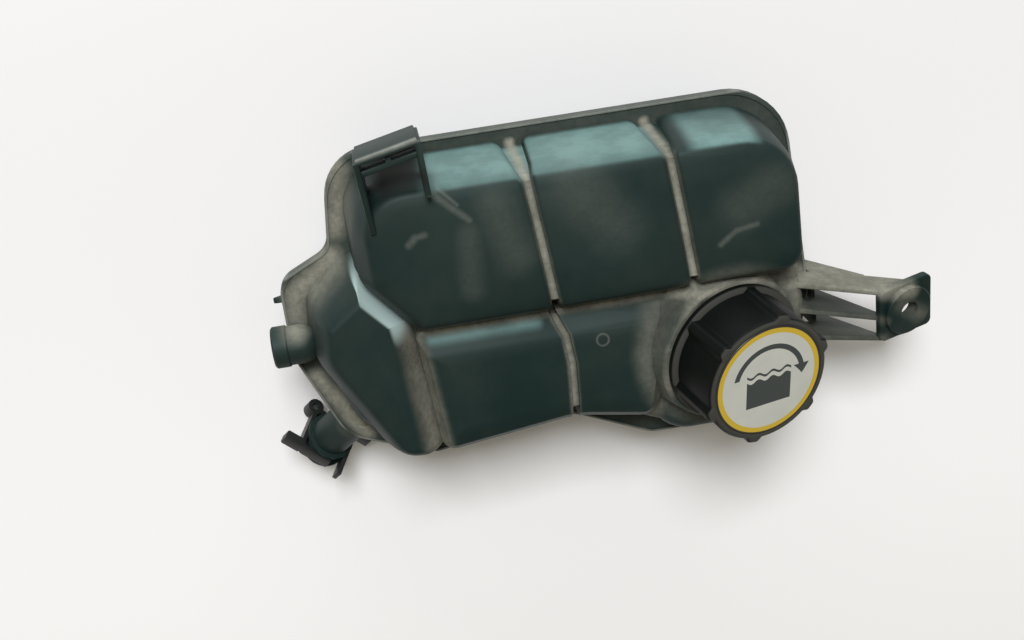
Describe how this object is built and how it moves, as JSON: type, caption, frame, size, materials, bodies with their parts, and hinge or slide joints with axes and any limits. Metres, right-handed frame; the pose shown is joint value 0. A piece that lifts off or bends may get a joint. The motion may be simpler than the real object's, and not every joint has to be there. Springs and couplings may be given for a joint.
{
  "type": "coolant expansion tank",
  "caption": "Black moulded coolant expansion tank of two welded shells with ribbed blocks, a leaning filler neck, a screw pressure cap with valves, hose spigots and a bolt bracket.",
  "frame": {"origin": "middle of the bracket's bolt hole, on the face of its pad", "axes": "+X along the tank from its spigot end to its bracket end, +Z square to the weld flange, away from the lower shell, +Y across the tank towards the hose holder"},
  "size_m": [0.3072, 0.1736, 0.1237],
  "materials": {
    "shell": "satin",
    "cap": "satin",
    "clip": "satin",
    "label": "gloss",
    "insert": "satin",
    "seal": "matte",
    "spring": "bright",
    "valve": "satin"
  },
  "bodies": {
    "tank": {"upper_shell": "shell", "lower_shell": "shell", "outlet_clip": "clip"},
    "plug": {"cap_insert": "insert", "upper_o_ring": "seal", "lower_o_ring": "seal", "spring_seat": "insert", "pressure_spring": "spring"},
    "cover": {"cap_cover": "cap", "cap_label": "label"},
    "relief": {"pressure_valve": "valve", "pressure_seal": "seal", "vacuum_spring": "spring"},
    "vacuum": {"vacuum_valve": "valve"}
  },
  "joints": [
    {"name": "cap_lift", "type": "slide", "parent": "tank", "child": "plug", "axis": [0.2835, -0.1913, 0.9397], "range_m": [0, 0.0211]},
    {"name": "cap_turn", "type": "hinge", "parent": "plug", "child": "cover", "pos_m": [-0.0901, 0.0043, 0.002], "axis": [0.2835, -0.1913, 0.9397], "range_deg": [0, 1080]},
    {"name": "relief_lift", "type": "slide", "parent": "plug", "child": "relief", "axis": [0.2835, -0.1913, 0.9397], "range_m": [0, 0.0025], "stiffness_N_per_m": 2000, "springref_m": -0.01, "deforming": ["pressure_spring"]},
    {"name": "vacuum_drop", "type": "slide", "parent": "relief", "child": "vacuum", "axis": [-0.2835, 0.1913, -0.9397], "range_m": [0, 0.0015], "stiffness_N_per_m": 200, "springref_m": -0.004, "deforming": ["vacuum_spring"]}
  ],
  "couplings": [
    {"joint": "cap_lift", "follows": "cap_turn", "m_per_rad": 0.0011141}
  ]
}
